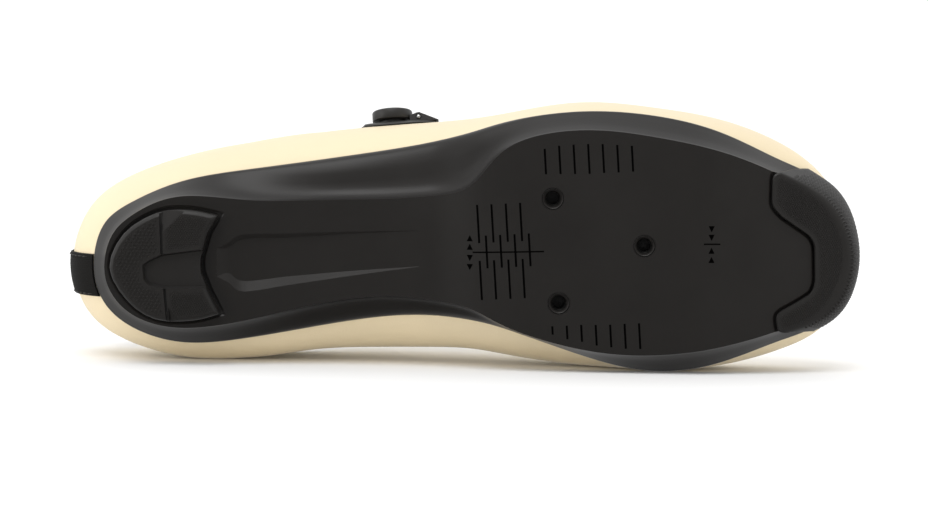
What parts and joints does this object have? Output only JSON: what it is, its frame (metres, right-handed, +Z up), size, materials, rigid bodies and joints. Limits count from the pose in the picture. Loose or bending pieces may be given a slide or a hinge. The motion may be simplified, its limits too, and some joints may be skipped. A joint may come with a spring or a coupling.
{
  "type": "cycling shoe",
  "caption": "Right road cycling shoe lying on its medial side: hollow cream upper, black cleat-ready sole, heel and toe pads, lace dial, tongue and insole.",
  "frame": {"origin": "middle of the shoe's box, on the floor that it lies on", "axes": "+X from heel to toe, -Y the way the sole faces, +Z up, towards the shoe's lateral side"},
  "size_m": [0.2826, 0.0954, 0.094],
  "materials": {
    "upper_microfibre": "smooth cream microfibre with a fine grain and a soft sheen",
    "sole_plate": "matt black moulded composite, fine sand texture",
    "pad_rubber": "matt black rubber with a fine dotted and knurled tread",
    "webbing": "black woven tape with a stitch line along each edge",
    "lining": "black knitted lining cloth over foam",
    "dial_plastic": "satin black moulded plastic",
    "bright_metal": "bright pin head",
    "insert_metal": "black-coated steel thread",
    "wire": "black coated lace wire"
  },
  "bodies": {
    "root": {"outsole": "sole_plate", "toe_pad": "pad_rubber", "heel_pad": "pad_rubber", "upper": "upper_microfibre", "heel_strip": "webbing", "tongue": "lining", "insole": "lining", "dial_base": "dial_plastic", "dial_knob": "dial_plastic", "dial_pin": "bright_metal", "cleat_insert_1": "insert_metal", "cleat_insert_2": "insert_metal", "cleat_insert_3": "insert_metal", "lace_wire": "wire", "wire_guide_1": "dial_plastic", "wire_guide_2": "dial_plastic", "wire_guide_3": "dial_plastic", "wire_guide_4": "dial_plastic", "wire_guide_5": "dial_plastic", "wire_guide_6": "dial_plastic"}
  },
  "joints": []
}
